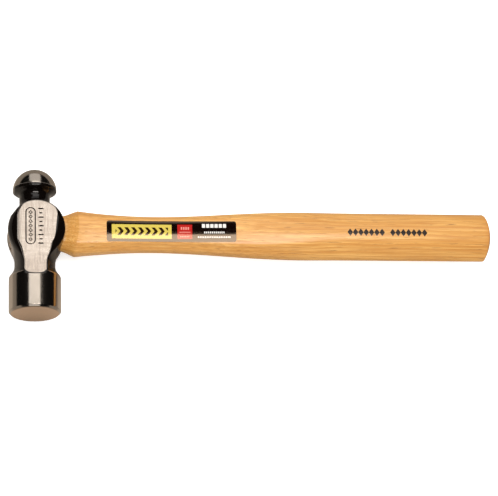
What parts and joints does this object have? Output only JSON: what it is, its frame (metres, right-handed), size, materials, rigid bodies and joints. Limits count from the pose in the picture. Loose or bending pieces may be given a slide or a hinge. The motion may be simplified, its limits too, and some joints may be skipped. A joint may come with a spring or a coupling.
{
  "type": "ball peen hammer",
  "caption": "Ball peen hammer with a polished ball, a round poll with a chamfered striking face, flat ground cheeks and a wedged hickory handle with a bevelled neck, oval grip and domed butt.",
  "frame": {"origin": "middle of the underside of the hammer lying on its side: the centre of its bounding box in plan, at the level of the poll's lowest line", "axes": "+X runs along the handle from the head to the butt, +Y along the head from the striking face to the ball, +Z is the normal of the upper cheek"},
  "size_m": [0.2804, 0.0862, 0.0295],
  "materials": {
    "head_steel": "ground and polished forged steel, gloss black paint on the sides and collar",
    "handle_hickory": "lacquered hickory, semi-gloss",
    "wedge_wood": "raw hardwood",
    "wedge_steel": "mill finish",
    "label_foil": "glossy printed foil sticker"
  },
  "bodies": {
    "root": {"head": "head_steel", "handle": "handle_hickory", "wood_wedge": "wedge_wood", "steel_wedge_ball_side": "wedge_steel", "steel_wedge_face_side": "wedge_steel", "label": "label_foil"}
  },
  "joints": []
}
